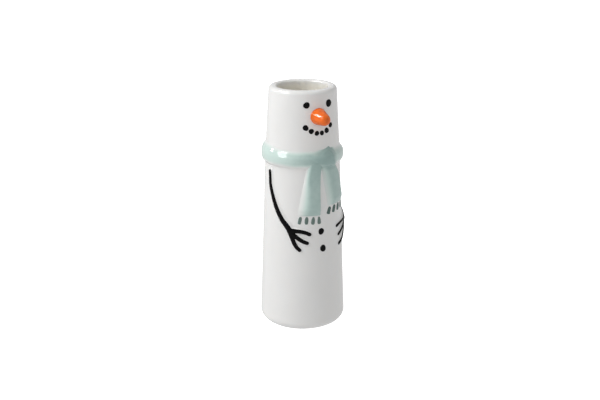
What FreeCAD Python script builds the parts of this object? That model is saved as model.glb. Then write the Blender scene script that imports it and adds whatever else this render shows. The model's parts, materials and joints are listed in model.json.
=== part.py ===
"""Glazed ceramic snowman vase: one slip-cast, tapering body, open at the top, with the scarf,
carrot nose, twig arms, coal eyes, mouth and buttons applied to its face.

Frame: millimetres, +Z up, the origin at the middle of the foot, on the ground. The snowman's face
looks along -Y. Angles round the axis are in degrees from the face, growing towards +X, which is
the snowman's own left.
"""

import FreeCAD, Part
import math
import os

import Sketcher

FULL_TURN = 360
OUTWARDS = FreeCAD.Vector(1, 0, 0)
SIDEWAYS = FreeCAD.Vector(0, 1, 0)
UP = FreeCAD.Vector(0, 0, 1)
# The runs of a clay roll are this share of the balls at its bends, so the two cross cleanly.
RUN_SHARE = 0.97

# Driving dimensions, in millimetres and degrees. Each name is the alias of one spreadsheet cell.
SIZES = {
    # Cast body: two cones that meet at the waist, behind the scarf.
    "body_height": 150.0,
    "foot_radius": 26.85,
    "waist_height": 109.0,
    "waist_radius": 22.75,
    "rim_radius": 20.35,
    "base_rounding": 5.0,
    "wall": 4.5,
    "floor_level": 6.5,
    "floor_rounding": 6.0,
    "recess_radius": 18.5,
    "recess_depth": 1.2,
    "neck_radius": 15.5,
    "neck_depth": 14.0,
    "neck_shoulder": 8.0,
    "lip_outer": 2.6,
    "lip_inner": 1.5,
    # Scarf: a rolled collar and two flat tails.
    "collar_level": 109.2,
    "collar_half_height": 4.6,
    "collar_raise": 2.3,
    "tail_raise": 1.4,
    # Carrot nose.
    "nose_level": 134.8,
    "nose_root": 4.0,
    "nose_radius": 4.7,
    "nose_tip_radius": 3.6,
    "nose_length": 9.9,
    "nose_tip_rounding": 3.3,
    "nose_droop": 1.0,
    # Coal eyes, mouth and buttons, and the dabs of the fringes.
    "dab_raise": 0.4,
    "eye_radius": 2.05,
    "eye_level": 141.9,
    "eye_angle": 20.5,
    "button_radius": 2.0,
    "fringe_half_width": 1.15,
    "fringe_half_length": 2.5,
    # Twig arms: half-round coils, thickest at the palm.
    "arm_thin": 1.3,
    "arm_thick": 1.65,
    "finger_root": 1.35,
    "finger_tip": 1.1,
}

# Coal pieces of the mouth: angle from the face, level and radius, from the snowman's right to left.
MOUTH = [
    (-22.0, 128.7, 1.8),
    (-13.1, 126.6, 1.6),
    (-4.0, 125.2, 1.45),
    (4.7, 125.1, 1.4),
    (14.0, 126.1, 1.5),
    (22.8, 128.8, 1.55),
]
BUTTONS = [("button_upper", 1.0, 64.7), ("button_lower", 3.6, 53.7)]

# Scarf tails: the angle that the outline faces, then its corners as (sideways, level).
RIGHT_TAIL_FACES = -16.0
RIGHT_TAIL = [
    (-0.4, 107.0),
    (7.2, 107.0),
    (6.5, 93.0),
    (6.9, 75.0),
    (-7.0, 75.0),
    (-5.8, 83.5),
    (-3.3, 94.2),
]
LEFT_TAIL_FACES = 30.0
LEFT_TAIL = [
    (-5.0, 116.8),
    (-2.2, 113.4),
    (0.3, 105.6),
    (3.2, 101.4),
    (5.9, 94.7),
    (8.4, 87.0),
    (10.4, 79.6),
    (-6.5, 79.6),
    (-7.7, 87.2),
    (-9.6, 98.4),
    (-10.3, 105.0),
    (-9.3, 111.0),
]
# Fringe dabs: angle and level of each dab's middle, and its lean, from the snowman's right to left.
RIGHT_FRINGE = [(-30.4, 72.4, -12.0), (-20.9, 72.3, -5.0), (-11.4, 72.0, -7.0), (-2.2, 71.9, 3.0)]
LEFT_FRINGE = [(15.4, 76.8, -20.0), (25.9, 77.0, -20.0), (37.0, 77.1, -16.0), (48.5, 77.2, -12.0)]

# Twig arms as (angle, level) along each twig's middle line.
RIGHT_ARM = [(-81.0, 100.6), (-80.0, 92.5), (-71.3, 83.6), (-59.5, 74.2), (-45.2, 66.2)]
RIGHT_FINGERS = [
    [(-45.2, 66.2), (-30.0, 65.8), (-16.7, 63.6)],
    [(-45.2, 66.2), (-33.0, 61.4), (-20.4, 58.3)],
    [(-45.2, 66.2), (-39.6, 59.0), (-30.8, 53.7)],
]
LEFT_ARM = [(108.0, 100.6), (105.5, 92.5), (101.0, 83.6), (91.0, 74.0), (64.0, 66.4)]
LEFT_FINGERS = [
    [(64.0, 66.4), (46.0, 66.6), (31.0, 65.3)],
    [(64.0, 66.4), (49.0, 62.0), (35.5, 59.3)],
    [(64.0, 66.4), (54.5, 58.0), (36.5, 53.0)],
]


class Size:
    """A length or angle that carries both its number and the spreadsheet expression it comes from."""

    def __init__(self, value, text):
        self.value = float(value)
        self.text = text

    def __add__(self, other):
        other = as_size(other)
        return Size(self.value + other.value, f"({self.text} + {other.text})")

    def __sub__(self, other):
        other = as_size(other)
        return Size(self.value - other.value, f"({self.text} - {other.text})")

    def __mul__(self, other):
        other = as_size(other)
        return Size(self.value * other.value, f"({self.text} * {other.text})")

    def __truediv__(self, other):
        other = as_size(other)
        return Size(self.value / other.value, f"({self.text} / {other.text})")


def as_size(value):
    return value if isinstance(value, Size) else Size(value, repr(value))


def make_sheet(doc):
    """Puts every driving dimension in a cell with an alias."""
    sheet = doc.addObject("Spreadsheet::Sheet", "Sizes")
    for row, (name, value) in enumerate(SIZES.items(), start=1):
        sheet.set(f"A{row}", name)
        sheet.set(f"B{row}", str(value))
        sheet.setAlias(f"B{row}", name)
    doc.recompute()
    return sheet


def sized(name):
    return Size(SIZES[name], f"Sizes.{name}")


def bind(thing, **properties):
    for name, size in properties.items():
        thing.setExpression(name, as_size(size).text)


def outer_radius(level):
    """Radius of the body's outside at a level above the ground, in millimetres."""
    waist, top = SIZES["waist_height"], SIZES["body_height"]
    if level < waist:
        return SIZES["foot_radius"] + (SIZES["waist_radius"] - SIZES["foot_radius"]) * level / waist
    share = (level - waist) / (top - waist)
    return SIZES["waist_radius"] + (SIZES["rim_radius"] - SIZES["waist_radius"]) * share


def on_body(angle, level, out=0.0):
    """The point on the body's outside at that angle and level, moved outwards by out."""
    turn = math.radians(angle)
    radius = outer_radius(level) + out
    return FreeCAD.Vector(radius * math.sin(turn), -radius * math.cos(turn), level)


def facing(angle, level, lean=0.0, droop=0.0):
    """Placement on the body's outside: local X out of the body, local Z up it, leaning sideways."""
    turn = FreeCAD.Rotation(UP, angle - 90)
    lean_turn = FreeCAD.Rotation(OUTWARDS, -lean)
    droop_turn = FreeCAD.Rotation(SIDEWAYS, droop)
    return FreeCAD.Placement(on_body(angle, level), turn * droop_turn * lean_turn)


# ---- sketches ----------------------------------------------------------------------------------


def origin_plane(body, role):
    return next(f for f in body.Origin.OriginFeatures if f.Role == role)


def closed_sketch(body, name, corners):
    """A closed outline of straight lines on the body's XZ plane, with every corner bound to the sheet."""
    sketch = body.newObject("Sketcher::SketchObject", name)
    sketch.AttachmentSupport = [(origin_plane(body, "XZ_Plane"), "")]
    sketch.MapMode = "FlatFace"
    corners = [(as_size(x), as_size(y)) for x, y in corners]
    points = [FreeCAD.Vector(x.value, y.value, 0) for x, y in corners]
    count = len(points)
    for i in range(count):
        sketch.addGeometry(Part.LineSegment(points[i], points[(i + 1) % count]), False)
    for i in range(count):
        sketch.addConstraint(Sketcher.Constraint("Coincident", i, 2, (i + 1) % count, 1))
    for i, (x, y) in enumerate(corners):
        for axis, kind, size in (("x", "DistanceX", x), ("y", "DistanceY", y)):
            if abs(size.value) < 1e-9:
                other = -2 if axis == "x" else -1
                sketch.addConstraint(Sketcher.Constraint("PointOnObject", i, 1, other))
                continue
            index = sketch.addConstraint(Sketcher.Constraint(kind, -1, 1, i, 1, size.value))
            if "Sizes." in size.text:
                sketch.setExpression(f"Constraints[{index}]", size.text)
    return sketch


def revolved(doc, name, corners):
    """A PartDesign body: the outline turned once round the Z axis."""
    body = doc.addObject("PartDesign::Body", name)
    sketch = closed_sketch(body, name + "_outline", corners)
    turned = body.newObject("PartDesign::Revolution", name + "_turned")
    turned.Profile = sketch
    turned.ReferenceAxis = (sketch, ["V_Axis"])
    turned.Angle = FULL_TURN
    doc.recompute()
    return body


def round_edge(doc, body, radius, level, size):
    """Rounds the circular edge of that radius at that level, by a radius bound to the sheet."""
    previous = body.Tip
    names = [
        f"Edge{i}"
        for i, edge in enumerate(previous.Shape.Edges, start=1)
        if isinstance(edge.Curve, Part.Circle)
        and abs(edge.Curve.Radius - radius) < 0.01
        and abs(edge.Curve.Center.z - level) < 0.01
    ]
    if not names:
        raise ValueError(f"{body.Label} has no round edge of radius {radius:.2f} at level {level:.2f}")
    fillet = body.newObject("PartDesign::Fillet", f"{body.Name}_round_{len(body.Group)}")
    fillet.Base = (previous, names)
    bind(fillet, Radius=size)
    doc.recompute()
    return fillet


# ---- cutting tools -----------------------------------------------------------------------------


def cone_pair(doc, name, grow):
    """The body's outside as a filled solid of two cones, grown outwards by grow."""
    grow = as_size(grow)
    lower = doc.addObject("Part::Cone", name + "_lower")
    bind(
        lower,
        Radius1=sized("foot_radius") + grow,
        Radius2=sized("waist_radius") + grow,
        Height=sized("waist_height"),
    )
    upper = doc.addObject("Part::Cone", name + "_upper")
    bind(
        upper,
        Radius1=sized("waist_radius") + grow,
        Radius2=sized("rim_radius") + grow,
        Height=sized("body_height") - sized("waist_height"),
    )
    upper.setExpression("Placement.Base.z", "Sizes.waist_height")
    pair = doc.addObject("Part::Fuse", name)
    pair.Base, pair.Tool = lower, upper
    return pair


def roll(doc, name, grow):
    """The scarf's roll round the neck: an upright ellipse turned round the axis."""
    grow = as_size(grow)
    section = doc.addObject("Part::Ellipse", name + "_section")
    bind(
        section,
        MajorRadius=sized("collar_half_height") + grow,
        MinorRadius=sized("collar_raise") + grow,
    )
    # The ellipse's long axis is local X: it is stood upright in the XZ plane.
    level = SIZES["collar_level"]
    upright = FreeCAD.Rotation(SIDEWAYS, -90) * FreeCAD.Rotation(OUTWARDS, 90)
    section.Placement = FreeCAD.Placement(FreeCAD.Vector(outer_radius(level), 0, level), upright)
    turned = doc.addObject("Part::Revolution", name)
    turned.Source = section
    turned.Axis = UP
    turned.Base = FreeCAD.Vector(0, 0, 0)
    turned.Angle = FULL_TURN
    turned.Solid = True
    return turned


def combine(doc, kind, name, base, tool):
    thing = doc.addObject(kind, name)
    thing.Base, thing.Tool = base, tool
    return thing


# ---- sub-parts ---------------------------------------------------------------------------------


def make_body(doc):
    """Slip-cast body: tapering outside, hollow inside, straight neck, rounded lip and foot ring."""
    top, waist, wall = sized("body_height"), sized("waist_height"), sized("wall")
    floor = sized("floor_level")
    neck_foot = top - sized("neck_depth")
    shoulder = neck_foot - sized("neck_shoulder")
    # Radii of the inside follow the outside's two cones, one wall thickness in.
    head_slope = (sized("waist_radius") - sized("rim_radius")) / (top - waist)
    shoulder_radius = sized("rim_radius") + head_slope * (top - shoulder) - wall
    body_slope = (sized("foot_radius") - sized("waist_radius")) / waist
    floor_radius = sized("foot_radius") - body_slope * floor - wall
    corners = [
        (0, sized("recess_depth")),
        (sized("recess_radius"), sized("recess_depth")),
        (sized("recess_radius"), 0),
        (sized("foot_radius"), 0),
        (sized("waist_radius"), waist),
        (sized("rim_radius"), top),
        (sized("neck_radius"), top),
        (sized("neck_radius"), neck_foot),
        (shoulder_radius, shoulder),
        (sized("waist_radius") - wall, waist),
        (floor_radius, floor),
        (0, floor),
    ]
    body = revolved(doc, "ceramic_body", corners)
    round_edge(doc, body, SIZES["foot_radius"], 0, sized("base_rounding"))
    round_edge(doc, body, SIZES["rim_radius"], SIZES["body_height"], sized("lip_outer"))
    round_edge(doc, body, SIZES["neck_radius"], SIZES["body_height"], sized("lip_inner"))
    round_edge(doc, body, floor_radius.value, SIZES["floor_level"], sized("floor_rounding"))
    return body


def make_tail(doc, name, faces, outline, outside, cutters):
    """A scarf tail: its outline pushed through the grown outside, less everything beneath it."""
    prism = doc.addObject("PartDesign::Body", name + "_prism")
    sketch = closed_sketch(prism, name + "_outline", outline)
    pad = prism.newObject("PartDesign::Pad", name + "_pad")
    pad.Profile = sketch
    bind(pad, Length=sized("foot_radius") * 2)
    prism.Placement = FreeCAD.Placement(FreeCAD.Vector(), FreeCAD.Rotation(UP, faces))
    skin = combine(doc, "Part::Common", name + "_skin", prism, outside)
    for i, cutter in enumerate(cutters):
        skin = combine(doc, "Part::Cut", f"{name}_less_{i}", skin, cutter)
    return skin


def make_dab(doc, name, core, angle, level, half_width, half_length, lean=0.0):
    """A low domed dab of coloured glaze: half an ellipsoid on the body's outside."""
    dome = doc.addObject("Part::Ellipsoid", name + "_dome")
    bind(dome, Radius1=half_length, Radius2=sized("dab_raise"), Radius3=half_width)
    dome.Placement = facing(angle, level, lean)
    return combine(doc, "Part::Cut", name, dome, core)


def make_nose(doc, core):
    """The carrot nose: a blunt cone with a rounded tip, drooping a little, seated on the head."""
    corners = [
        (0, as_size(0) - sized("nose_root")),
        (sized("nose_radius"), as_size(0) - sized("nose_root")),
        (sized("nose_radius"), 0),
        (sized("nose_tip_radius"), sized("nose_length")),
        (0, sized("nose_length")),
    ]
    cone = revolved(doc, "carrot_cone", corners)
    round_edge(doc, cone, SIZES["nose_tip_radius"], SIZES["nose_length"], sized("nose_tip_rounding"))
    tip_up_to_front = FreeCAD.Rotation(SIDEWAYS, 90)
    place = facing(0, SIZES["nose_level"], droop=SIZES["nose_droop"])
    cone.Placement = FreeCAD.Placement(place.Base, place.Rotation * tip_up_to_front)
    return combine(doc, "Part::Cut", "carrot_nose", cone, core)


def make_limb(doc, name, path, start_radius, end_radius):
    """A tapering roll of clay along the path: a ball at each bend and a cone between each two."""
    start, end = sized(start_radius), sized(end_radius)
    steps = len(path) - 1
    radii = [start + (end - start) * (i / steps) for i in range(steps + 1)]
    points = [on_body(angle, level) for angle, level in path]
    pieces = []
    for i, (point, radius) in enumerate(zip(points, radii), start=1):
        ball = doc.addObject("Part::Sphere", f"{name}_ball_{i}")
        bind(ball, Radius=radius)
        ball.Placement.Base = point
        pieces.append(ball)
    for i in range(steps):
        run = points[i + 1] - points[i]
        cone = doc.addObject("Part::Cone", f"{name}_run_{i + 1}")
        bind(cone, Radius1=radii[i] * RUN_SHARE, Radius2=radii[i + 1] * RUN_SHARE, Height=run.Length)
        cone.Placement = FreeCAD.Placement(points[i], FreeCAD.Rotation(UP, run))
        pieces.append(cone)
    return pieces


def make_arm(doc, name, core, arm, fingers):
    """A twig arm with three fingers: rolls of clay pressed on to the body, half of each standing out."""
    pieces = make_limb(doc, name + "_twig", arm, "arm_thin", "arm_thick")
    for i, finger in enumerate(fingers, start=1):
        pieces += make_limb(doc, f"{name}_finger_{i}", finger, "finger_root", "finger_tip")
    rolls = doc.addObject("Part::MultiFuse", name + "_rolls")
    rolls.Shapes = pieces
    return combine(doc, "Part::Cut", name, rolls, core)


def make_parts(doc):
    """Builds every sub-part. Returns a dictionary of label to document object."""
    core = cone_pair(doc, "core", 0)
    parts = {"ceramic_body": make_body(doc)}

    collar_roll = roll(doc, "collar_roll", 0)
    parts["scarf_collar"] = combine(doc, "Part::Cut", "scarf_collar", collar_roll, core)
    tail_skin = cone_pair(doc, "tail_skin", sized("tail_raise"))
    grown_roll = roll(doc, "grown_roll", sized("tail_raise"))
    over_collar = combine(doc, "Part::Fuse", "over_collar", tail_skin, grown_roll)
    cutters = [core, collar_roll]
    parts["scarf_tail_right"] = make_tail(
        doc, "scarf_tail_right", RIGHT_TAIL_FACES, RIGHT_TAIL, tail_skin, cutters
    )
    parts["scarf_tail_left"] = make_tail(
        doc, "scarf_tail_left", LEFT_TAIL_FACES, LEFT_TAIL, over_collar, cutters
    )

    dab_width, dab_length = sized("fringe_half_width"), sized("fringe_half_length")
    for side, dabs in (("right", RIGHT_FRINGE), ("left", LEFT_FRINGE)):
        for i, (angle, level, lean) in enumerate(dabs, start=1):
            name = f"scarf_fringe_{side}_{i}"
            parts[name] = make_dab(doc, name, core, angle, level, dab_width, dab_length, lean)

    parts["carrot_nose"] = make_nose(doc, core)
    eye = sized("eye_radius")
    for side, sign in (("right", -1), ("left", 1)):
        name = f"{side}_eye"
        angle = sign * SIZES["eye_angle"]
        parts[name] = make_dab(doc, name, core, angle, SIZES["eye_level"], eye, eye)
    for i, (angle, level, radius) in enumerate(MOUTH, start=1):
        name = f"mouth_coal_{i}"
        parts[name] = make_dab(doc, name, core, angle, level, radius, radius)
    button = sized("button_radius")
    for name, angle, level in BUTTONS:
        parts[name] = make_dab(doc, name, core, angle, level, button, button)

    parts["right_arm"] = make_arm(doc, "right_arm", core, RIGHT_ARM, RIGHT_FINGERS)
    parts["left_arm"] = make_arm(doc, "left_arm", core, LEFT_ARM, LEFT_FINGERS)
    return parts


def check(doc, parts):
    """Stops before anything is written if an object failed or a sub-part isn't a good solid."""
    for thing in doc.Objects:
        if "Invalid" in thing.State or "Error" in thing.State:
            raise ValueError(f"{thing.Label} is in state {thing.State}")
    for label, thing in parts.items():
        shape = thing.Shape
        if shape.isNull() or not shape.isValid() or not shape.Solids:
            raise ValueError(f"{label} isn't a valid solid")


def write(parts):
    os.makedirs("parts", exist_ok=True)
    for label, thing in parts.items():
        thing.Label = label
        shape = thing.Shape
        shape.exportStep(f"parts/{label}.step")
        size = shape.optimalBoundingBox(False)
        print(
            f"{label}: {len(shape.Solids)} solid, {shape.Volume:.1f} mm3, "
            f"{size.XLength:.1f} x {size.YLength:.1f} x {size.ZLength:.1f} mm"
        )


def main():
    doc = FreeCAD.newDocument("snowman_vase")
    make_sheet(doc)
    parts = make_parts(doc)
    doc.recompute()
    check(doc, parts)
    write(parts)


main()
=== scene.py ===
"""Looks of the glazed ceramic snowman vase. Metres, +Z up; the face looks along -Y, and angles round
the axis are in degrees from the face, growing towards +X, the snowman's own left."""

import json
import math

import bmesh
import bpy
import numpy as np
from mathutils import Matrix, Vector


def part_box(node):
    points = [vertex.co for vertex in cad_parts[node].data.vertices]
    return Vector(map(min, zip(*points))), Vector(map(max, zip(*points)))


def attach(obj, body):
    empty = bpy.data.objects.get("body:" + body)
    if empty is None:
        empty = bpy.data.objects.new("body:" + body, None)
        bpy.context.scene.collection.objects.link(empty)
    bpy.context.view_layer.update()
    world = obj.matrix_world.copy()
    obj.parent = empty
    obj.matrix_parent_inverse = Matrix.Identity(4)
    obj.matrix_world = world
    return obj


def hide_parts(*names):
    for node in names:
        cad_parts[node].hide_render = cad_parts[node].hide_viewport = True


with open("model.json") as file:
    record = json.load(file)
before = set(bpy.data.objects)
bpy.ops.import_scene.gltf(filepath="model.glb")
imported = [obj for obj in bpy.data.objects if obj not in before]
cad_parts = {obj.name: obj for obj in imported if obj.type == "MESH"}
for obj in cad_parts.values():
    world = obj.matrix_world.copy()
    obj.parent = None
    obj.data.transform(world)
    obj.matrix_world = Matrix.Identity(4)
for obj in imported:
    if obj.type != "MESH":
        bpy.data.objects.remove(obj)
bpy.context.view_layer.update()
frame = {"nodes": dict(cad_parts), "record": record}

MM = 0.001

# How deep the hidden side of a relief piece lies under the glazed surface.
BURIED = 0.7 * MM
# A relief's outline sinks this far, so that its edge never shows as a step.
FEATHER = 0.02 * MM


# ---- measures read from the frame --------------------------------------------------------------


def cad_points(node):
    mesh = frame["nodes"][node].data
    points = np.empty(len(mesh.vertices) * 3)
    mesh.vertices.foreach_get("co", points)
    return points.reshape(-1, 3)


def outside_profile():
    """Levels and radii of the cast wall's outside, which bulges everywhere: the rings on its hull."""
    points = cad_points("ceramic_body")
    levels = np.round(points[:, 2], 5)
    radii = np.hypot(points[:, 0], points[:, 1])
    hull = []
    for level in sorted(set(levels)):
        ring = (level, radii[levels == level].max())
        while len(hull) > 1 and not bulges(hull[-2], hull[-1], ring):
            hull.pop()
        hull.append(ring)
    return np.array(hull).T


def bulges(low, middle, high):
    """True where the middle ring lies outside the straight line from the low ring to the high one."""
    share = (middle[0] - low[0]) / (high[0] - low[0])
    return middle[1] > low[1] + share * (high[1] - low[1])


RING_LEVELS, RING_RADII = outside_profile()
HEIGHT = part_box("ceramic_body")[1].z
COLLAR_LOW, COLLAR_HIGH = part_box("scarf_collar")[0].z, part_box("scarf_collar")[1].z
COLLAR_LEVEL = (COLLAR_LOW + COLLAR_HIGH) / 2
COLLAR_HALF = (COLLAR_HIGH - COLLAR_LOW) / 2
NECK_MOUNT = next(m for m in frame["record"]["mounts"] if m["name"] == "neck_bore")
NECK_RADIUS = NECK_MOUNT["dims"]["r_mm"] * MM


def wall_radius(level):
    return np.interp(level, RING_LEVELS, RING_RADII)


# The wall is unrolled flat at the radius that it has here, under the scarf.
FLAT_RADIUS = float(wall_radius(90 * MM))
COLLAR_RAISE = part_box("scarf_collar")[1].x - float(wall_radius(COLLAR_LEVEL))


def sway(turn, level):
    """How far the hand-finished wall strays from round, in metres."""
    slow = 0.05 * MM * np.sin(2 * turn + 1.3) * np.cos(level / (45 * MM) + 0.4)
    quick = 0.025 * MM * np.sin(5 * turn - 0.8 + level / (17 * MM))
    return slow + quick


def on_wall(angle, level, out):
    """Points on the outside wall at these angles and levels, standing out by out."""
    angle, level = np.broadcast_arrays(np.asarray(angle, float), np.asarray(level, float))
    turn = np.radians(angle)
    radius = wall_radius(level) + sway(turn, level) + out
    return np.stack([radius * np.sin(turn), -radius * np.cos(turn), level], axis=-1)


def smoothstep(x):
    x = np.clip(x, 0.0, 1.0)
    return x * x * (3 - 2 * x)


def smooth_curve(points, count):
    """Catmull-Rom curve through given points, sampled evenly by its parameter."""
    points = np.asarray(points, float)
    ends = np.vstack([2 * points[0] - points[1], points, 2 * points[-1] - points[-2]])
    at = np.linspace(0, len(points) - 1, count)
    i = np.minimum(at.astype(int), len(points) - 2)
    f = (at - i)[:, None]
    a, b, c, d = ends[i], ends[i + 1], ends[i + 2], ends[i + 3]
    return 0.5 * (2 * b + (c - a) * f + (2 * a - 5 * b + 4 * c - d) * f**2 + (3 * b - a - 3 * c + d) * f**3)


# ---- mesh helpers ------------------------------------------------------------------------------


def make_mesh(name, points, faces, attributes=()):
    mesh = bpy.data.meshes.new(name)
    mesh.from_pydata([tuple(p) for p in points], [], [tuple(int(i) for i in f) for f in faces])
    for key, values in dict(attributes).items():
        layer = mesh.attributes.new(key, "FLOAT", "POINT")
        layer.data.foreach_set("value", np.asarray(values, np.float32))
    bm = bmesh.new()
    bm.from_mesh(mesh)
    bmesh.ops.recalc_face_normals(bm, faces=bm.faces)
    bm.to_mesh(mesh)
    bm.free()
    mesh.shade_smooth()
    obj = bpy.data.objects.new(name, mesh)
    bpy.context.scene.collection.objects.link(obj)
    return obj


def grid_faces(rows, columns, closed, start=0):
    """Quads of a grid of rows x columns points, numbered from start, closed round its columns or not."""
    i, j = np.meshgrid(np.arange(rows - 1), np.arange(columns if closed else columns - 1), indexing="ij")
    k = (j + 1) % columns
    quads = np.stack([i * columns + j, i * columns + k, (i + 1) * columns + k, (i + 1) * columns + j], -1)
    return (quads.reshape(-1, 4) + start).tolist()


def fan_faces(start, count, centre):
    """Triangles between a ring of count points, numbered from start, and its centre point."""
    return [[start + j, start + (j + 1) % count, centre] for j in range(count)]


def relief(name, angle, level, out, attributes=(), closed=False):
    """A closed solid whose top stands out of the wall by out and whose under side is buried in it."""
    rows, columns = angle.shape
    count = rows * columns
    top = on_wall(angle, level, out).reshape(-1, 3)
    under = on_wall(angle, level, -BURIED).reshape(-1, 3)
    faces = grid_faces(rows, columns, closed) + grid_faces(rows, columns, closed, count)
    span = range(columns if closed else columns - 1)
    for row in (0, rows - 1):
        for j in span:
            a, b = row * columns + j, row * columns + (j + 1) % columns
            faces.append([a, b, b + count, a + count])
    if not closed:
        for column in (0, columns - 1):
            for i in range(rows - 1):
                a, b = i * columns + column, (i + 1) * columns + column
                faces.append([a, b, b + count, a + count])
    twice = {key: np.tile(np.asarray(values).ravel(), 2) for key, values in dict(attributes).items()}
    return make_mesh(name, np.vstack([top, under]), faces, twice)


def finish_piece(obj, material, slot, *nodes):
    obj.data.materials.append(material)
    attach(obj, "root")
    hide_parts(*nodes)


# ---- materials ---------------------------------------------------------------------------------


class Nodes:
    """A material's node tree, with short calls to add nodes and links."""

    def __init__(self, name):
        self.material = bpy.data.materials.new(name)
        self.material.use_nodes = True
        self.tree = self.material.node_tree
        self.shader = self.tree.nodes["Principled BSDF"]

    def add(self, kind, inputs=(), **settings):
        node = self.tree.nodes.new(kind)
        for key, value in settings.items():
            setattr(node, key, value)
        for key, value in dict(inputs).items():
            self.set(node, key, value)
        return node

    def set(self, node, key, value):
        if isinstance(value, bpy.types.NodeSocket):
            self.tree.links.new(value, node.inputs[key])
        else:
            node.inputs[key].default_value = value

    def place(self):
        return self.add("ShaderNodeTexCoord").outputs["Object"]

    def noise(self, scale, detail=2.0, roughness=0.5):
        inputs = {"Vector": self.place(), "Scale": scale, "Detail": detail, "Roughness": roughness}
        return self.add("ShaderNodeTexNoise", inputs).outputs["Fac"]

    def attribute(self, name):
        return self.add("ShaderNodeAttribute", attribute_name=name).outputs["Fac"]

    def math(self, operation, a, b=0.0, c=0.0):
        return self.add("ShaderNodeMath", {0: a, 1: b, 2: c}, operation=operation).outputs[0]

    def span(self, value, low, high, to_low=0.0, to_high=1.0):
        inputs = {"Value": value, "From Min": low, "From Max": high, "To Min": to_low, "To Max": to_high}
        node = self.add("ShaderNodeMapRange", inputs, interpolation_type="SMOOTHSTEP")
        return node.outputs["Result"]

    def mix(self, share, a, b):
        node = self.add("ShaderNodeMix", data_type="RGBA")
        for key, value in (("Factor", share), ("A", a), ("B", b)):
            socket = next(s for s in node.inputs if s.name == key and s.enabled)
            if isinstance(value, bpy.types.NodeSocket):
                self.tree.links.new(value, socket)
            else:
                socket.default_value = (*value, 1.0)
        return next(s for s in node.outputs if s.enabled)

    def bump(self, height, strength, distance):
        node = self.add("ShaderNodeBump", {"Height": height, "Strength": strength, "Distance": distance})
        return node.outputs["Normal"]


WHITE = (0.86, 0.857, 0.845)
# A warmer tone down the inside: painted shade, standing in for the shade inside the neck and cavity.
INSIDE_SHADE_TONE = (0.88, 0.85, 0.765)
WHITE_ROUGHNESS = 0.09
BISQUE = (0.74, 0.68, 0.58)
BISQUE_ROUGHNESS = 0.8
MINT_THIN = (0.60, 0.735, 0.69)
# The deep mint is darkened to grey beyond the glaze's own colour: painted shade for the knot and the shaded
# right sides of the scarf's ends, where the cover is full.
MINT_DEEP_AND_SHADE = (0.33, 0.465, 0.44)
SAGE_THIN = (0.34, 0.42, 0.39)
SAGE_DEEP = (0.105, 0.155, 0.14)
ORANGE = (0.93, 0.165, 0.016)
COAL = (0.0018, 0.0018, 0.0022)


def scaled(colour, share):
    return tuple(share * part for part in colour)


def glaze_surface(nodes, roughness, ripple):
    """Glossy glaze: a fixed gloss, and a faint orange-peel ripple in the surface."""
    shader = nodes.shader
    shader.inputs["Roughness"].default_value = roughness
    shader.inputs["IOR"].default_value = 1.5
    fine = nodes.math("MULTIPLY", nodes.noise(330.0, 1.0), 0.12)
    height = nodes.math("ADD", nodes.noise(60.0, 1.0), fine)
    nodes.set(shader, "Normal", nodes.bump(height, 1.0, ripple))


def white_glaze():
    """White glaze: a warmer tone painted down the inside as painted shade, and wiped off the foot ring,
    where the fired clay is bare.
    """
    nodes = Nodes("white_glaze")
    mottle = nodes.span(nodes.noise(60.0, 3.0), 0.35, 0.65)
    colour = nodes.mix(mottle, WHITE, scaled(WHITE, 0.985))
    # Painted shade: the inside turns to a warmer tone.
    colour = nodes.mix(nodes.attribute("inside"), colour, INSIDE_SHADE_TONE)
    bare = nodes.attribute("bare")
    nodes.set(nodes.shader, "Base Color", nodes.mix(bare, colour, BISQUE))
    glaze_surface(nodes, WHITE_ROUGHNESS, 0.08 * MM)
    roughness = nodes.span(bare, 0.0, 1.0, WHITE_ROUGHNESS, BISQUE_ROUGHNESS)
    nodes.set(nodes.shader, "Roughness", roughness)
    nodes.shader.inputs["Subsurface Weight"].default_value = 0.12
    nodes.shader.inputs["Subsurface Radius"].default_value = (1.0, 0.9, 0.8)
    nodes.shader.inputs["Subsurface Scale"].default_value = 1.5 * MM
    return nodes.material


def tinted_glaze(name, thin, deep, roughness, shine):
    """Coloured glaze over white: the piece's cover attribute says how thick it lies; on the mint, the cover
    and the deep colour also carry painted light and shade.
    """
    nodes = Nodes(name)
    patchy = nodes.math("MULTIPLY_ADD", nodes.noise(260.0, 3.0), 0.30, 0.85)
    cover = nodes.math("MULTIPLY", nodes.attribute("cover"), patchy)
    first_half = nodes.math("MINIMUM", nodes.math("MULTIPLY", cover, 2.0), 1.0)
    second_half = nodes.math("MAXIMUM", nodes.math("MULTIPLY_ADD", cover, 2.0, -1.0), 0.0)
    second_half = nodes.math("MINIMUM", second_half, 1.0)
    colour = nodes.mix(second_half, nodes.mix(first_half, WHITE, thin), deep)
    nodes.set(nodes.shader, "Base Color", colour)
    glaze_surface(nodes, roughness, 0.03 * MM)
    nodes.shader.inputs["Specular IOR Level"].default_value = shine
    return nodes.material


def coal_glaze():
    nodes = Nodes("coal_glaze")
    streaks = nodes.span(nodes.noise(500.0, 2.0), 0.4, 0.7)
    nodes.set(nodes.shader, "Base Color", nodes.mix(streaks, COAL, scaled(COAL, 2.2)))
    glaze_surface(nodes, 0.16, 0.04 * MM)
    nodes.shader.inputs["Specular IOR Level"].default_value = 0.1
    return nodes.material


def orange_glaze():
    nodes = Nodes("orange_glaze")
    streaks = nodes.span(nodes.noise(330.0, 3.0, 0.6), 0.35, 0.7)
    nodes.set(nodes.shader, "Base Color", nodes.mix(streaks, ORANGE, scaled(ORANGE, 0.8)))
    glaze_surface(nodes, 0.03, 0.01 * MM)
    nodes.shader.inputs["Specular IOR Level"].default_value = 0.3
    return nodes.material


# ---- cast body ---------------------------------------------------------------------------------

WAIST_LEVEL = 109 * MM
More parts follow.
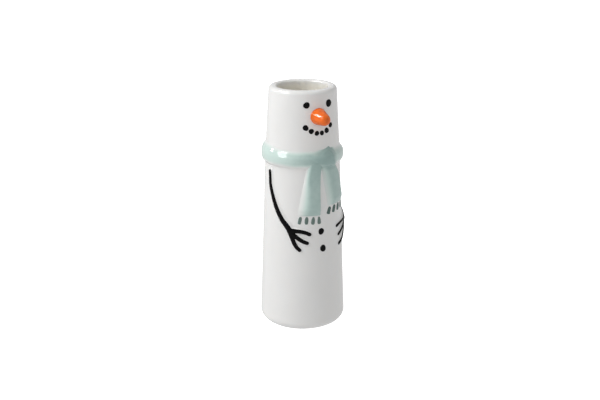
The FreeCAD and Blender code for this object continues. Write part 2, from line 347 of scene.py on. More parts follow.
# Levels between which the wall runs straight, below the scarf and above it.
LOWER_WALL = (10 * MM, 90 * MM)
UPPER_WALL = (120 * MM, 140 * MM)
LIP_OUTER = 2.6 * MM
LIP_INNER = 1.5 * MM
BASE_ROUNDING = 5.0 * MM
WALL = 4.5 * MM
NECK_DEPTH = 14 * MM
NECK_SHOULDER = 8 * MM
NECK_ROUNDING = 2 * MM
FLOOR_LEVEL = 6.5 * MM
FLOOR_ROUNDING = 6 * MM
RECESS_RADIUS = 18.5 * MM
RECESS_DEPTH = 1.2 * MM
FOOT_EDGE = 0.5 * MM
# The glaze is wiped off below this level, and turns to the inside's warm painted-shade tone over this
# depth.
WIPED_LEVEL = 0.15 * MM
INSIDE_SHADE_FADE = 5 * MM
BODY_SEGMENTS = 240
ARC_POINTS = 13
OUTLINE_STEP = 1.5 * MM


def rounded(corners):
    """Outline through corners given as (radius, level, rounding), with each rounding as an arc."""
    outline = []
    corners = [(np.array(c[:2]), c[2]) for c in corners]
    for i, (corner, size) in enumerate(corners):
        if not size:
            outline.append(corner)
            continue
        before, after = corners[i - 1][0] - corner, corners[i + 1][0] - corner
        before, after = before / np.linalg.norm(before), after / np.linalg.norm(after)
        half = math.acos(float(np.clip(before @ after, -1, 1))) / 2
        middle = before + after
        centre = corner + middle / np.linalg.norm(middle) * size / math.sin(half)
        first = corner + before * size / math.tan(half) - centre
        last = corner + after * size / math.tan(half) - centre
        sweep = math.pi - 2 * half
        for share in np.linspace(0, 1, ARC_POINTS):
            a = math.sin((1 - share) * sweep) / math.sin(sweep)
            b = math.sin(share * sweep) / math.sin(sweep)
            outline.append(centre + a * first + b * last)
    return np.array(outline)


def spaced(outline, step):
    """The outline with points added on its long straights, about a step apart."""
    points = [outline[0]]
    for a, b in zip(outline[:-1], outline[1:]):
        parts = max(1, int(np.linalg.norm(b - a) / step))
        points += [a + (b - a) * k / parts for k in range(1, parts + 1)]
    return np.array(points)


def straight_radius(level, through_low, through_high):
    """Radius of the cone through two levels of the wall, carried on to another level."""
    low, high = float(wall_radius(through_low)), float(wall_radius(through_high))
    return low + (high - low) * (level - through_low) / (through_high - through_low)


def make_body(material):
    """The cast vase: its outline from the recess under the foot, over the lip, to the floor inside."""
    foot = straight_radius(0, *LOWER_WALL)
    waist = float(wall_radius(WAIST_LEVEL))
    rim = straight_radius(HEIGHT, *UPPER_WALL)
    neck_foot = HEIGHT - NECK_DEPTH
    shoulder = neck_foot - NECK_SHOULDER
    corners = [
        (0, RECESS_DEPTH, 0),
        (RECESS_RADIUS, RECESS_DEPTH, FOOT_EDGE),
        (RECESS_RADIUS, 0, FOOT_EDGE),
        (foot, 0, BASE_ROUNDING),
        (waist, WAIST_LEVEL, 0),
        (rim, HEIGHT, LIP_OUTER),
        (NECK_RADIUS, HEIGHT, LIP_INNER),
        (NECK_RADIUS, neck_foot, NECK_ROUNDING),
        (float(wall_radius(shoulder)) - WALL, shoulder, NECK_ROUNDING),
        (waist - WALL, WAIST_LEVEL, 0),
        (float(wall_radius(FLOOR_LEVEL)) - WALL, FLOOR_LEVEL, FLOOR_ROUNDING),
        (0, FLOOR_LEVEL, 0),
    ]
    outline = spaced(rounded(corners), OUTLINE_STEP)
    inner = outline[1:-1]
    turn = np.linspace(0, 2 * math.pi, BODY_SEGMENTS, endpoint=False)[None, :]
    radius = inner[:, :1] + np.where(inner[:, 1:] > FOOT_EDGE, 1, 0) * sway(turn, inner[:, 1:])
    level = np.broadcast_to(inner[:, 1:], radius.shape)
    ring = np.stack([radius * np.sin(turn), -radius * np.cos(turn), level], -1).reshape(-1, 3)
    points = np.vstack([ring, [[0, 0, RECESS_DEPTH]], [[0, 0, FLOOR_LEVEL]]])
    faces = grid_faces(len(inner), BODY_SEGMENTS, True)
    faces += fan_faces(0, BODY_SEGMENTS, len(ring))
    faces += fan_faces((len(inner) - 1) * BODY_SEGMENTS, BODY_SEGMENTS, len(ring) + 1)
    crest = np.argmax(inner[:, 1])
    beyond_crest = np.arange(len(inner)) > crest
    # How far each ring takes the inside's painted-shade tone.
    inside = beyond_crest * smoothstep((HEIGHT - inner[:, 1]) / INSIDE_SHADE_FADE)
    bare = ~beyond_crest * (inner[:, 1] < WIPED_LEVEL)
    attributes = {
        key: np.append(np.repeat(values, BODY_SEGMENTS), centres)
        for key, values, centres in (("inside", inside, [0, 1]), ("bare", bare, [0, 0]))
    }
    body = make_mesh("glazed_body", points, faces, attributes)
    finish_piece(body, material, "white_glaze", "ceramic_body")


# ---- scarf -------------------------------------------------------------------------------------

# How far above its middle line the roll starts to fall, and over what height it dies into the head.
COLLAR_CREST = 0.9 * MM
COLLAR_SHOULDER = 5.0 * MM
# How square the roll's lower side is, as the power of its outline, and how far all of it is softened.
COLLAR_SQUARENESS = 2.4
COLLAR_SOFTENING = 0.55 * MM
PROFILE_STEP = 0.05 * MM
# How far the collar climbs by the right shoulder.
COLLAR_CLIMB = 1.6 * MM
COLLAR_ROWS, COLLAR_COLUMNS = 100, 360


def collar_profile():
    """Height of the collar over the wall by level: a pressed roll that dies away softly upwards."""
    level = np.arange(COLLAR_LOW - 3 * MM, COLLAR_HIGH + 6 * MM, PROFILE_STEP)
    across = (level - COLLAR_LEVEL) / COLLAR_HALF
    roll = COLLAR_RAISE * np.sqrt(np.clip(1 - np.abs(across) ** COLLAR_SQUARENESS, 0, 1))
    shoulder = COLLAR_RAISE * (1 - smoothstep((level - COLLAR_LEVEL - COLLAR_CREST) / COLLAR_SHOULDER))
    roll = np.where(level > COLLAR_LEVEL, shoulder, roll)
    reach = np.arange(-40, 41) * PROFILE_STEP
    soften = np.exp(-((reach / COLLAR_SOFTENING) ** 2))
    return level, np.convolve(roll, soften / soften.sum(), mode="same")


PROFILE_LEVELS, PROFILE_HEIGHTS = collar_profile()


def half_turn(angle):
    """The angle brought between -180 and 180 degrees."""
    return (np.asarray(angle) + 180) % 360 - 180


def raised_side(angle):
    """How much higher the collar's upper edge lies than elsewhere: it climbs by the right shoulder."""
    around = half_turn(angle)
    return COLLAR_CLIMB * smoothstep((-55 - around) / 45) * smoothstep((around + 180) / 45)


def collar_height(angle, level):
    """How far the collar stands out at an angle and level; its roll drifts a little round the neck."""
    turn = np.radians(angle)
    drift = 0.15 * MM * np.sin(2 * turn + 0.6) + 0.08 * MM * np.sin(5 * turn)
    fuller = 1 + 0.03 * np.sin(3 * turn + 1.0)
    drift = drift + raised_side(angle) * np.clip((level - COLLAR_LEVEL) / COLLAR_HALF, 0, 1)
    return fuller * np.interp(level - drift, PROFILE_LEVELS, PROFILE_HEIGHTS, left=0, right=0)


# How far the mint reaches over the roll's upper edge, and how much further by the knot.
PAINT_REACH = 1.9 * MM
PAINT_REACH_BY_KNOT = 2.4 * MM
# How thick the mint glaze lies round the collar, as (angle, cover). It is full by the knot and thinner on
# both sides, which is painted light: paler on the left where the key light falls, and a painted sheen on
# the right where grazing reflections wash the mint out.
COLLAR_COVER_AND_PAINTED_LIGHT = [
    (-180, 0.55), (-110, 0.47), (-60, 0.50), (-45, 0.60), (-25, 0.78), (-5, 1.0), (8, 1.0),
    (22, 1.0), (29, 0.5), (45, 0.42), (90, 0.5), (180, 0.55),
]


def collar_paint(angle, level):
    """Cover of the mint glaze on the collar: full over the roll, thin on its shoulder, none beyond; round
    the neck it thins towards the sides, which is painted light.
    """
    turn = np.radians(angle)
    brush = 0.3 * MM * np.sin(4 * turn + 0.5) + 0.2 * MM * np.sin(11 * turn)
    around = half_turn(angle)
    towards_knot = smoothstep((around + 10) / 30) * smoothstep((32 - around) / 10)
    top = COLLAR_HIGH + PAINT_REACH + 0.5 * brush + PAINT_REACH_BY_KNOT * towards_knot + raised_side(around)
    low = COLLAR_LOW + 0.1 * MM + 0.5 * brush
    upper_edge = smoothstep((top - level) / (3.6 * MM))
    lower_edge = smoothstep((level - low) / ((3.4 - 2.2 * towards_knot) * MM))
    # Thinner on the sides: painted light on the lit left, and a painted sheen on the right.
    fuller = np.interp(around, *np.array(COLLAR_COVER_AND_PAINTED_LIGHT).T)
    return upper_edge * lower_edge * fuller


def make_collar(material):
    """The roll round the neck, with room above and below it for its soft edges."""
    margin = 1.6 * MM
    rows = np.linspace(COLLAR_LOW - margin, COLLAR_HIGH + 2 * margin, COLLAR_ROWS)
    columns = np.linspace(0, 360, COLLAR_COLUMNS, endpoint=False)
    level, angle = np.meshgrid(rows, columns, indexing="ij")
    out = collar_height(angle, level) - FEATHER
    piece = relief("scarf_roll", angle, level, out, {"cover": collar_paint(angle, level)}, closed=True)
    finish_piece(piece, material, "mint_glaze", "scarf_collar")


def arc_metres(angle, level):
    """Places on the wall unrolled flat: (sideways, up) in metres."""
    return np.stack([np.radians(angle) * FLAT_RADIUS, level], axis=-1)


def distance_to(points, line):
    """Distance from each point to an open polyline, and how far along it the nearest place is."""
    best = np.full(points.shape[:-1], np.inf)
    along = np.zeros(points.shape[:-1])
    lengths = np.linalg.norm(np.diff(line, axis=0), axis=1)
    start = np.concatenate([[0], np.cumsum(lengths)])
    for a, b, s, size in zip(line[:-1], line[1:], start, lengths):
        t = np.clip(((points - a) @ (b - a)) / max(size * size, 1e-12), 0, 1)
        gap = np.linalg.norm(points - a - t[..., None] * (b - a), axis=-1)
        nearer = gap < best
        best = np.where(nearer, gap, best)
        along = np.where(nearer, s + t * size, along)
    return best, along / start[-1]


# Edges of the scarf's hanging ends, from the bottom up, as (angle, level in millimetres).
RIGHT_TAIL_EDGES = {
    "left": [
        (-34.3, 75.2), (-32.3, 81.0), (-29.3, 87.4), (-26.4, 93.4), (-23.6, 99.0), (-20.9, 104.6),
        (-19.8, 109.0),
    ],
    "right": [
        (0.6, 74.8), (0.2, 81.0), (0.0, 87.0), (0.0, 93.0), (0.5, 99.0), (2.0, 104.6), (3.2, 109.0),
    ],
}
LEFT_TAIL_EDGES = {
    "left": [
        (13.0, 79.8), (11.4, 83.8), (8.9, 89.6), (5.9, 96.2), (3.8, 102.4), (0.0, 106.0),
        (-12.0, 109.0), (-20.0, 111.2), (-12.5, 112.8), (2.0, 114.4), (15.0, 116.4),
    ],
    "right": [
        (54.0, 79.4), (50.6, 83.2), (46.2, 89.6), (42.0, 96.4), (37.2, 101.6), (30.6, 105.4),
        (25.6, 108.6), (24.6, 111.2), (24.0, 113.4), (21.6, 115.2), (17.4, 116.6),
    ],
}
# How far the scarf's ends stand out of the wall, and the left one out of the collar.
RIGHT_TAIL_HEIGHT = 2.2 * MM
LEFT_TAIL_HEIGHT = 1.7 * MM
LEFT_TAIL_ON_COLLAR = 1.1 * MM
# The left end hangs clear of the collar below the first level, and its top edge lies above the second.
HANGING_TOP = 104.5 * MM
KNOT_TOP = 112 * MM


def tail_grid(edges, rows, columns):
    """Grid between two edges: angle and level, and the edges as flat lines."""
    left = smooth_curve([(a, b * MM) for a, b in edges["left"]], rows)
    right = smooth_curve([(a, b * MM) for a, b in edges["right"]], rows)
    share = 0.5 - 0.5 * np.cos(np.linspace(0, math.pi, columns))
    angle = left[:, :1] + (right[:, :1] - left[:, :1]) * share
    level = left[:, 1:] + (right[:, 1:] - left[:, 1:]) * share
    return angle, level, arc_metres(left[:, 0], left[:, 1]), arc_metres(right[:, 0], right[:, 1])


def bottom_edge(from_bottom):
    """Height of a scarf end near its bottom, as a share: a short lip, then a slow swell."""
    return (0.3 + 0.7 * smoothstep(from_bottom / (5 * MM))) * smoothstep(from_bottom / (0.8 * MM))


def make_right_tail(material):
    """The right end: it swells slowly from its left side to a steep right side; its left flank is painted
    pale, a painted highlight on the lit slope.
    """
    angle, level, left, right = tail_grid(RIGHT_TAIL_EDGES, rows=150, columns=70)
    flat = arc_metres(angle, level)
    from_left = distance_to(flat, left)[0]
    from_right = distance_to(flat, right)[0]
    from_bottom = distance_to(flat, np.array([left[0], right[0]]))[0]
    across = from_left / (from_left + from_right + 1e-9)
    flank = 0.55 - 0.25 * smoothstep((level - 84 * MM) / (18 * MM))
    shape = smoothstep(across / flank) ** 0.65 * smoothstep(from_right / (0.9 * MM))
    out = RIGHT_TAIL_HEIGHT * shape * bottom_edge(from_bottom) - FEATHER
    edge = smoothstep(np.minimum(from_right, from_bottom) / (0.3 * MM))
    thick = 0.80 + 0.10 * smoothstep((level - 90 * MM) / (12 * MM))
    # The mint thins almost to white across the left flank: thin glaze at its very edge, and a painted
    # highlight on the slope that the light falls on.
    cover = edge * thick * (0.04 + 0.96 * smoothstep((across + 0.01) / flank))
    piece = relief("scarf_end_right", angle, level, out, {"cover": cover})
    finish_piece(piece, material, "mint_glaze", "scarf_tail_right")


def make_left_tail(material):
    """The left end: it comes out of the knot over the collar and hangs with a left edge painted pale, a
    painted highlight on its lit flank.
    """
    angle, level, left, right = tail_grid(LEFT_TAIL_EDGES, rows=210, columns=80)
    flat = arc_metres(angle, level)
    from_left = distance_to(flat, left[left[:, 1] < HANGING_TOP])[0]
    from_right = distance_to(flat, right)[0]
    from_bottom = distance_to(flat, np.array([left[0], right[0]]))[0]
    from_top = distance_to(flat, left[left[:, 1] > KNOT_TOP])[0]
    on_collar = smoothstep((level - 101 * MM) / (6 * MM))
    fade_in = smoothstep((angle + 22) / 30)
    across = from_left / (from_left + from_right + 1e-9)
    own_side = smoothstep(across / 0.34) ** 0.65
    left_edge = (1 - on_collar) * own_side + on_collar * fade_in
    shape = left_edge * smoothstep(from_right / (2.4 * MM)) * bottom_edge(from_bottom)
    shape = shape * smoothstep(from_top / (1.6 * MM))
    height = LEFT_TAIL_HEIGHT + (LEFT_TAIL_ON_COLLAR - LEFT_TAIL_HEIGHT) * on_collar
    out = collar_height(angle, level) + height * shape
    # A hair's breadth keeps the end above the collar that it lies on.
    out += 3 * FEATHER * smoothstep(np.minimum(from_right, from_bottom) / (0.5 * MM)) - FEATHER
    edge = np.minimum(np.minimum(from_right, from_bottom), from_top)
    # Thinner towards the left edge: a painted highlight on the flank that the light falls on.
    hanging_cover_and_highlight = 0.82 * (0.28 + 0.72 * smoothstep(across / 0.36))
    own_left = on_collar * fade_in + (1 - on_collar) * hanging_cover_and_highlight
    cover = smoothstep(edge / (0.3 * MM)) * own_left
    cover = np.maximum(cover, on_collar * collar_paint(angle, level))
    piece = relief("scarf_end_left", angle, level, out, {"cover": cover})
    finish_piece(piece, material, "mint_glaze", "scarf_tail_left")


# ---- dabs of glaze -----------------------------------------------------------------------------

DAB_SEGMENTS = 56
DAB_RINGS = 14
# How deep a dab's rim lies under the wall's surface.
DAB_SINK = 0.12 * MM


def make_dab(name, node, material, slot, outline, height, lean=0.0, thick=1.0):
    """A domed dab of glaze centred on its CAD node. outline(turn) gives its half widths there."""
    low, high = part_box(node)
    centre = (low + high) / 2
    angle = math.degrees(math.atan2(centre.x, -centre.y))
    turn = np.linspace(0, 2 * math.pi, DAB_SEGMENTS, endpoint=False)
    side, up = outline(turn)
    tilt = math.radians(lean)
    side, up = side * math.cos(tilt) + up * math.sin(tilt), up * math.cos(tilt) - side * math.sin(tilt)
    share = np.sin(np.linspace(0.06, 1, DAB_RINGS) * math.pi / 2)[:, None]
    radius = float(wall_radius(centre.z))
    around = angle + np.degrees(share * side / radius)
    level = centre.z + share * up
    dome = height * np.sqrt(np.clip(1 - share**3, 0, 1)) - DAB_SINK
    out = np.broadcast_to(dome, around.shape)
    top = on_wall(around, level, out).reshape(-1, 3)
    under = on_wall(around[-1], level[-1], -BURIED)
    middle = [on_wall(angle, centre.z, height - DAB_SINK), on_wall(angle, centre.z, -BURIED)]
    points = np.vstack([top, under, middle])
    faces = grid_faces(DAB_RINGS + 1, DAB_SEGMENTS, True)
    faces += fan_faces(0, DAB_SEGMENTS, len(points) - 2)
    faces += fan_faces(DAB_RINGS * DAB_SEGMENTS, DAB_SEGMENTS, len(points) - 1)
    rim = thick * np.broadcast_to(1 - share**24, around.shape).ravel()
    cover = np.concatenate([rim, np.zeros(DAB_SEGMENTS), [thick, 0.0]])
    dab = make_mesh(name, points, faces, {"cover": cover})
    finish_piece(dab, material, slot, node)


def dot_outline(width, height, seed):
    """A hand-placed round dot, a little out of round; seed picks how."""

    def outline(turn):
        wobble = 1 + 0.045 * np.sin(2 * turn + seed) + 0.03 * np.sin(3 * turn + 2.1 * seed)
        return width / 2 * np.sin(turn) * wobble, height / 2 * np.cos(turn) * wobble

    return outline


def stroke_outline(width, length, seed):
    """A short downward brush stroke: narrow where the brush lands and blunt where it lifts."""

    def outline(turn):
        up = np.cos(turn)
        taper = 1 - 0.16 * up + 0.08 * np.sin(3 * up + seed)
        side = np.sign(np.sin(turn)) * np.abs(np.sin(turn)) ** 0.6
        rise = np.sign(up) * np.abs(up) ** np.where(up > 0, 0.85, 0.6)
        return width / 2 * side * taper, length / 2 * rise

    return outline


# Widths and heights of the dots in millimetres.
DOTS = {
    "right_eye": (3.95, 3.85),
    "left_eye": (5.05, 4.35),
    "mouth_coal_1": (3.5, 3.55),
    "mouth_coal_2": (3.2, 3.25),
    "mouth_coal_3": (3.05, 2.95),
    "mouth_coal_4": (3.05, 2.9),
    "mouth_coal_5": (3.4, 3.5),
    "mouth_coal_6": (3.15, 3.1),
    "button_upper": (4.0, 4.1),
    "button_lower": (4.15, 4.5),
}
DOT_HEIGHT = 0.55 * MM
# Widths, length and height of the fringe strokes.
FRINGE_WIDTH = {"right": 2.2 * MM, "left": 3.1 * MM}
FRINGE_LENGTH = 5.0 * MM
FRINGE_HEIGHT = 0.4 * MM
# How thick the glaze lies on the fringe strokes.
FRINGE_COVER = {"right": 0.9, "left": 1.0}
# Leans of the fringe strokes in degrees, from the snowman's right to left.
FRINGE_LEANS = {"right": [12, 5, 7, -3], "left": [20, 20, 16, 12]}


def make_dots(material):
    for seed, (node, (width, height)) in enumerate(DOTS.items()):
        outline = dot_outline(width * MM, height * MM, 1.7 * seed)
        make_dab(node + "_dot", node, material, "black_glaze", outline, DOT_HEIGHT)


def make_fringes(material):
    for side, leans in FRINGE_LEANS.items():
        for i, lean in enumerate(leans, start=1):
            name, node = f"fringe_{side}_{i}", f"scarf_fringe_{side}_{i}"
            outline = stroke_outline(FRINGE_WIDTH[side], FRINGE_LENGTH, i + len(side))
            thick = FRINGE_COVER[side]
            make_dab(name, node, material, "green_glaze", outline, FRINGE_HEIGHT, lean, thick)


# ---- nose --------------------------------------------------------------------------------------

# The carrot's root radius as a share of its CAD node's, how much it tapers, and how blunt its tip is.
NOSE_ROOT = 1.07
NOSE_TAPER = 0.40
NOSE_BLUNTNESS = 12
NOSE_DROOP = math.radians(3.0)
NOSE_LEVEL = 134.8 * MM
# How far its buried end reaches into the head: its rim, as about this share of the carrot's length,
# and the middle of the end.
NOSE_ROOT_REACH = 0.28
NOSE_ROOT_DEPTH = 3 * MM
NOSE_SEGMENTS = 96


def make_nose(material):
    """The carrot: one turned form, drooping a little, seated on the head."""
    low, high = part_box("carrot_nose")
    root = float(wall_radius(NOSE_LEVEL))
    tip = -low.y - root
    reach = np.sin(np.linspace(-NOSE_ROOT_REACH, math.pi / 2, 60))
    rounding = np.sqrt(np.clip(1 - np.clip(reach, 0, 1) ** NOSE_BLUNTNESS, 0, 1))
    width = NOSE_ROOT * (1 - NOSE_TAPER * reach) * rounding
    outline = np.stack([tip * reach, (high.x - low.x) / 2 * width], -1)
    turn = np.linspace(0, 2 * math.pi, NOSE_SEGMENTS, endpoint=False)
    out, radius = outline[:-1, :1], outline[:-1, 1:]
    lumps = 1 + 0.005 * np.sin(3 * turn + out / (6 * MM))
    x = radius * lumps * np.sin(turn)
    z = radius * lumps * np.cos(turn)
    y = np.broadcast_to(out, x.shape)
    points = np.stack([x, -y, z], -1).reshape(-1, 3)
    points = np.vstack([points, [[0, -outline[-1, 0], 0]], [[0, NOSE_ROOT_DEPTH, 0]]])
    cos, sin = math.cos(NOSE_DROOP), math.sin(NOSE_DROOP)
    droop = np.array([[1, 0, 0], [0, cos, -sin], [0, sin, cos]])
    points = points @ droop.T + [0, -root, NOSE_LEVEL]
    faces = grid_faces(len(outline) - 1, NOSE_SEGMENTS, True)
    faces += fan_faces((len(outline) - 2) * NOSE_SEGMENTS, NOSE_SEGMENTS, len(points) - 2)
    faces += fan_faces(0, NOSE_SEGMENTS, len(points) - 1)
    nose = make_mesh("carrot", points, faces)
    finish_piece(nose, material, "orange_glaze", "carrot_nose")


# ---- arms --------------------------------------------------------------------------------------

# Middle lines of the twig arms and their fingers, as (angle, level in millimetres).
RIGHT_ARM = [
    (-81.0, 100.4), (-80.0, 96.5), (-79.0, 92.5), (-75.5, 88.2), (-70.8, 83.3),
    (-64.0, 77.5), (-56.1, 72.2), (-50.1, 69.3), (-44.6, 66.2),
]
RIGHT_FINGERS = [
    [(-44.6, 66.2), (-38.0, 65.9), (-30.0, 65.6), (-22.5, 64.8), (-16.9, 63.7)],
    [(-45.2, 65.8), (-39.0, 63.4), (-32.3, 61.0), (-26.0, 59.3), (-20.5, 58.2)],
    [(-45.5, 65.6), (-41.6, 61.6), (-37.8, 57.6), (-34.0, 55.1), (-30.8, 53.8)],
]
LEFT_ARM = [
    (110.0, 100.6), (109.4, 96.5), (108.4, 92.5), (106.8, 88.2), (104.0, 83.3),
    (100.0, 77.6), (92.0, 72.8), (79.5, 69.3), (64.0, 66.4),
]
LEFT_FINGERS = [
    [(64.0, 66.4), (54.0, 66.6), (44.0, 66.3), (36.5, 65.8), (31.5, 65.3)],
    [(64.0, 66.0), (54.0, 63.0), (46.0, 61.2), (40.5, 60.1), (36.0, 59.3)],
    [(64.0, 65.6), (58.0, 60.2), (51.0, 56.2), (43.5, 54.2), (37.0, 53.1)],
]
# Half widths of the black line, in millimetres: at the shoulder, at the palm, and at a finger's ends.
SHOULDER_LINE, PALM_LINE = 1.23, 1.8
FINGER_LINE = {"right": (1.44, 1.22), "left": (0.6, 1.1)}
# The white ridge that the line is painted on: its height at both ends of a stroke, and how far it
# reaches out on each side of the line, in millimetres.
RIDGE_HEIGHT = {"arm": (1.0, 1.4), "finger": (1.3, 0.5)}
RIDGE_SIDE = {"arm": 1.5, "finger": 0.8}
RIDGE_STEP = 0.3 * MM
# Ridges melt together where they meet: the higher this power, the less.
RIDGE_MELT = 6.0
# Half the thickness of the black line, and how deep its middle lies under the ridge's surface.
LINE_HALF_THICK = 0.55 * MM
LINE_SINK = 0.1 * MM
LINE_SEGMENTS = 20
LINE_VOXEL = 0.14 * MM


def unit(vector):
    return vector / np.linalg.norm(vector)


def arm_strokes(side, arm, fingers):
    """Each stroke of an arm as (flat line, angles and levels, half width at its start and end, kind)."""
    strokes = []
    for kind, path in [("arm", arm)] + [("finger", finger) for finger in fingers]:
        line = smooth_curve([(a, b * MM) for a, b in path], 60)
        ends = (SHOULDER_LINE, PALM_LINE) if kind == "arm" else FINGER_LINE[side]
        strokes.append((arc_metres(line[:, 0], line[:, 1]), line, ends, kind))
    return strokes


def ridge_height(strokes, angle, level):
    """Height of the moulded ridge: a soft swell about each stroke, melted together where they meet."""
    flat = arc_metres(angle, level)
    total = np.zeros(flat.shape[:-1])
    for line, _, (start, end), kind in strokes:
        gap, along = distance_to(flat, line)
        half = (start + (end - start) * along + RIDGE_SIDE[kind]) * MM
        root, tip = RIDGE_HEIGHT[kind]
        rise = (root + (tip - root) * along) * MM * smoothstep((1 - gap / half) / 0.8)
        total = total + rise**RIDGE_MELT
    return total ** (1 / RIDGE_MELT)


def make_ridge(name, node, material, strokes):
    """The moulded ridge of one arm: the cells of a fine grid that stand out of the wall, made solid."""
    margin = (PALM_LINE + RIDGE_SIDE["arm"] + 0.4) * MM
    lines = np.vstack([line for line, _, _, _ in strokes])
    low, high = lines.min(0) - margin, lines.max(0) + margin
    columns = np.degrees(np.arange(low[0], high[0], RIDGE_STEP) / FLAT_RADIUS)
    rows = np.arange(low[1], high[1], RIDGE_STEP)
    level, angle = np.meshgrid(rows, columns, indexing="ij")
    out = ridge_height(strokes, angle, level)
    used = out > 0.0
    keep = np.zeros_like(used)
    for shift_rows in (-1, 0, 1):
        for shift_columns in (-1, 0, 1):
            keep |= np.roll(np.roll(used, shift_rows, 0), shift_columns, 1)
    numbers = np.full(keep.shape, -1)
    numbers[keep] = np.arange(keep.sum())
    quads = []
    for i, j in np.argwhere(keep[:-1, :-1]):
        corners = [numbers[i, j], numbers[i, j + 1], numbers[i + 1, j + 1], numbers[i + 1, j]]
        if min(corners) >= 0:
            quads.append(corners)
    top = on_wall(angle[keep], level[keep], out[keep] - FEATHER)
    ridge = make_mesh(name, top, quads)
    solidify(ridge)
    finish_piece(ridge, material, "white_glaze", node)


def solidify(obj):
    """Closes an open skin into a solid by carrying its rim and a copy of it into the wall."""
    bm = bmesh.new()
    bm.from_mesh(obj.data)
    kept = bmesh.ops.extrude_face_region(bm, geom=bm.faces[:], use_keep_orig=True)
    for v in [v for v in kept["geom"] if isinstance(v, bmesh.types.BMVert)]:
        outwards = Vector((v.co.x, v.co.y, 0)).normalized()
        v.co -= outwards * (math.hypot(v.co.x, v.co.y) - float(wall_radius(v.co.z)) + BURIED)
    bmesh.ops.recalc_face_normals(bm, faces=bm.faces)
    bm.to_mesh(obj.data)
    bm.free()
    obj.data.shade_smooth()


def line_solid(strokes, line, ends):
    """Points and faces of one painted stroke: a flattened tube with round ends, half sunk in the ridge."""
    start, end = np.array(ends) * MM
    flat = arc_metres(line[:, 0], line[:, 1])
    half = np.linspace(start, end, len(flat))
    cap = np.linspace(0, 0.49 * math.pi, 9)[1:, None]
    before, after = unit(flat[0] - flat[1]), unit(flat[-1] - flat[-2])
    head = (flat[0] + before * start * np.sin(cap))[::-1]
    tail = flat[-1] + after * end * np.sin(cap)
    flat = np.vstack([head, flat, tail])
    half = np.concatenate([(start * np.cos(cap[:, 0]))[::-1], half, end * np.cos(cap[:, 0])])
    count = len(flat)
    along = np.gradient(flat, axis=0)
    along /= np.linalg.norm(along, axis=1)[:, None]
    across = np.stack([-along[:, 1], along[:, 0]], -1)
    turn = np.linspace(0, 2 * math.pi, LINE_SEGMENTS, endpoint=False)
    middle = flat[:, None, :] + across[:, None, :] * (half[:, None] * np.cos(turn))[..., None]
    angle = np.degrees(middle[..., 0] / FLAT_RADIUS)
    level = middle[..., 1]
    thick = np.minimum(LINE_HALF_THICK, half)[:, None]
    out = ridge_height(strokes, angle, level) - LINE_SINK + thick * np.sin(turn)
    points = on_wall(angle, level, out).reshape(-1, 3)
    faces = grid_faces(count, LINE_SEGMENTS, True)
    faces.append(list(range(LINE_SEGMENTS)))
    faces.append(list(range((count - 1) * LINE_SEGMENTS, count * LINE_SEGMENTS)))
    return points, faces


def make_line(name, node, material, strokes):
    """The black glaze of one arm: its strokes melted into one solid."""
    points, faces = np.empty((0, 3)), []
    for _, line, ends, _ in strokes:
        dense = smooth_curve(line, 140)
        more, more_faces = line_solid(strokes, dense, ends)
        faces += [[i + len(points) for i in face] for face in more_faces]
        points = np.vstack([points, more])
    piece = make_mesh(name, points, faces)
    bpy.context.view_layer.objects.active = piece
    melt = piece.modifiers.new("melt", "REMESH")
    melt.mode = "VOXEL"
    melt.voxel_size = LINE_VOXEL
    melt.use_smooth_shade = True
    relax = piece.modifiers.new("relax", "SMOOTH")
    relax.factor = 0.5
    relax.iterations = 4
    for modifier in ("melt", "relax"):
        bpy.ops.object.modifier_apply(modifier=modifier)
    piece.data.shade_smooth()
    finish_piece(piece, material, "black_glaze", node)


def make_arms(white, black):
    for side, arm, fingers in (("right", RIGHT_ARM, RIGHT_FINGERS), ("left", LEFT_ARM, LEFT_FINGERS)):
        strokes = arm_strokes(side, arm, fingers)
        make_ridge(f"arm_ridge_{side}", f"{side}_arm", white, strokes)
        make_line(f"arm_line_{side}", f"{side}_arm", black, strokes)


# ---- studio ------------------------------------------------------------------------------------

# Where the photo's camera stood and what way it looked, in this frame, and its lens in millimetres.
CAMERA_PLACE = Vector((-0.23666, -0.47117, 0.25677))
CAMERA_LOOK = Vector((0.4224, 0.8472, -0.3222))
LENS, SENSOR_WIDTH = 53.744, 36
# The lights' distance from the middle of the vase.
LIGHT_DISTANCE = 1.15
# How bright the room is below the horizon, where the white table lies, above it, and behind the vase.
ROOM_BELOW, ROOM_ABOVE, ROOM_SEEN = 0.73, 0.48, 1.05
FLOOR_HALF = 3.0


def add_camera():
    data = bpy.data.cameras.new("camera")
    data.lens = LENS
    data.sensor_width = SENSOR_WIDTH
    camera = bpy.data.objects.new("camera", data)
    camera.location = CAMERA_PLACE
    camera.rotation_euler = CAMERA_LOOK.to_track_quat("-Z", "Y").to_euler()
    bpy.context.scene.collection.objects.link(camera)
    bpy.context.scene.camera = camera


def studio_direction(azimuth, elevation):
    """Unit vector towards a place in the studio: azimuth from the camera, growing to its right."""
    turn = math.radians(azimuth) + math.atan2(CAMERA_PLACE.x, -CAMERA_PLACE.y)
    rise = math.radians(elevation)
    return Vector((math.sin(turn) * math.cos(rise), -math.cos(turn) * math.cos(rise), math.sin(rise)))


def add_light(name, azimuth, elevation, size, power):
    """A soft box that faces the middle of the vase from that direction."""
    data = bpy.data.lights.new(name, "AREA")
    data.shape = "RECTANGLE"
    data.size, data.size_y = size
    data.energy = power
    light = bpy.data.objects.new(name, data)
    direction = studio_direction(azimuth, elevation)
    light.location = Vector((0, 0, HEIGHT / 2)) + LIGHT_DISTANCE * direction
    light.rotation_euler = (-direction).to_track_quat("-Z", "Y").to_euler()
    light.visible_camera = False
    bpy.context.scene.collection.objects.link(light)
    return light


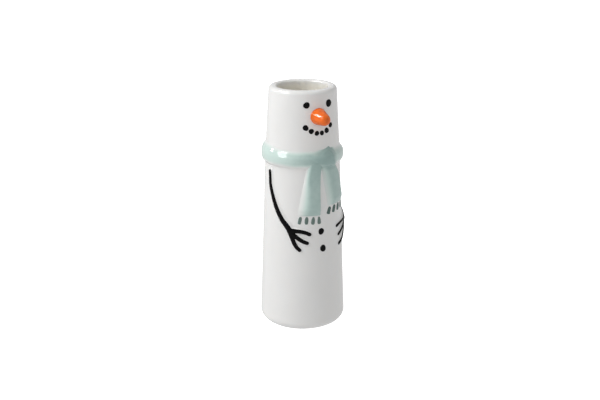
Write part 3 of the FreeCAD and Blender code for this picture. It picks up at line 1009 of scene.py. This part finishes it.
def add_room():
    """An even pale room, a little brighter from below, and white where the camera looks into it."""
    world = bpy.data.worlds.new("studio")
    world.use_nodes = True
    bpy.context.scene.world = world
    tree = world.node_tree
    room = tree.nodes["Background"]
    room.inputs["Color"].default_value = (1, 1, 1, 1)
    split = tree.nodes.new("ShaderNodeSeparateXYZ")
    tree.links.new(tree.nodes.new("ShaderNodeTexCoord").outputs["Generated"], split.inputs[0])
    rise = tree.nodes.new("ShaderNodeMapRange")
    ends = {"From Min": -0.15, "From Max": 0.35, "To Min": ROOM_BELOW, "To Max": ROOM_ABOVE}
    for key, value in ends.items():
        rise.inputs[key].default_value = value
    tree.links.new(split.outputs["Z"], rise.inputs["Value"])
    tree.links.new(rise.outputs["Result"], room.inputs["Strength"])
    seen = tree.nodes.new("ShaderNodeBackground")
    seen.inputs["Color"].default_value = (1, 1, 1, 1)
    seen.inputs["Strength"].default_value = ROOM_SEEN
    choose = tree.nodes.new("ShaderNodeMixShader")
    path = tree.nodes.new("ShaderNodeLightPath")
    tree.links.new(path.outputs["Is Camera Ray"], choose.inputs[0])
    tree.links.new(room.outputs[0], choose.inputs[1])
    tree.links.new(seen.outputs[0], choose.inputs[2])
    tree.links.new(choose.outputs[0], tree.nodes["World Output"].inputs["Surface"])


def add_floor():
    """A plain white floor, which the glaze neither mirrors nor takes light from."""
    mesh = bpy.data.meshes.new("floor")
    half = FLOOR_HALF
    corners = [(-half, -half, 0), (half, -half, 0), (half, half, 0), (-half, half, 0)]
    mesh.from_pydata(corners, [], [(0, 1, 2, 3)])
    floor = bpy.data.objects.new("floor", mesh)
    bpy.context.scene.collection.objects.link(floor)
    nodes = Nodes("floor")
    nodes.shader.inputs["Base Color"].default_value = (0.9, 0.9, 0.9, 1)
    nodes.shader.inputs["Roughness"].default_value = 0.9
    nodes.shader.inputs["Emission Color"].default_value = (1, 1, 1, 1)
    nodes.shader.inputs["Emission Strength"].default_value = 0.8
    mesh.materials.append(nodes.material)
    floor.visible_glossy = False
    floor.visible_diffuse = False


def add_studio():
    """The room, the floor, and two soft boxes on the left: a broad key and a narrow strip."""
    bpy.context.scene.view_settings.view_transform = "Standard"
    add_room()
    add_floor()
    key = add_light("key", -72, 44, (0.42, 1.0), 8.9)
    key.rotation_euler.rotate_axis("Z", math.radians(45))
    strip = add_light("strip", -101, 38, (0.16, 0.45), 6.8)
    strip.visible_diffuse = False


# ---- assembly ----------------------------------------------------------------------------------

add_camera()
add_studio()
white, black = white_glaze(), coal_glaze()
mint = tinted_glaze("mint_glaze", MINT_THIN, MINT_DEEP_AND_SHADE, roughness=0.07, shine=0.5)
sage = tinted_glaze("sage_glaze", SAGE_THIN, SAGE_DEEP, roughness=0.2, shine=0.15)
make_body(white)
make_collar(mint)
make_right_tail(mint)
make_left_tail(mint)
make_fringes(sage)
make_nose(orange_glaze())
make_dots(black)
make_arms(white, black)
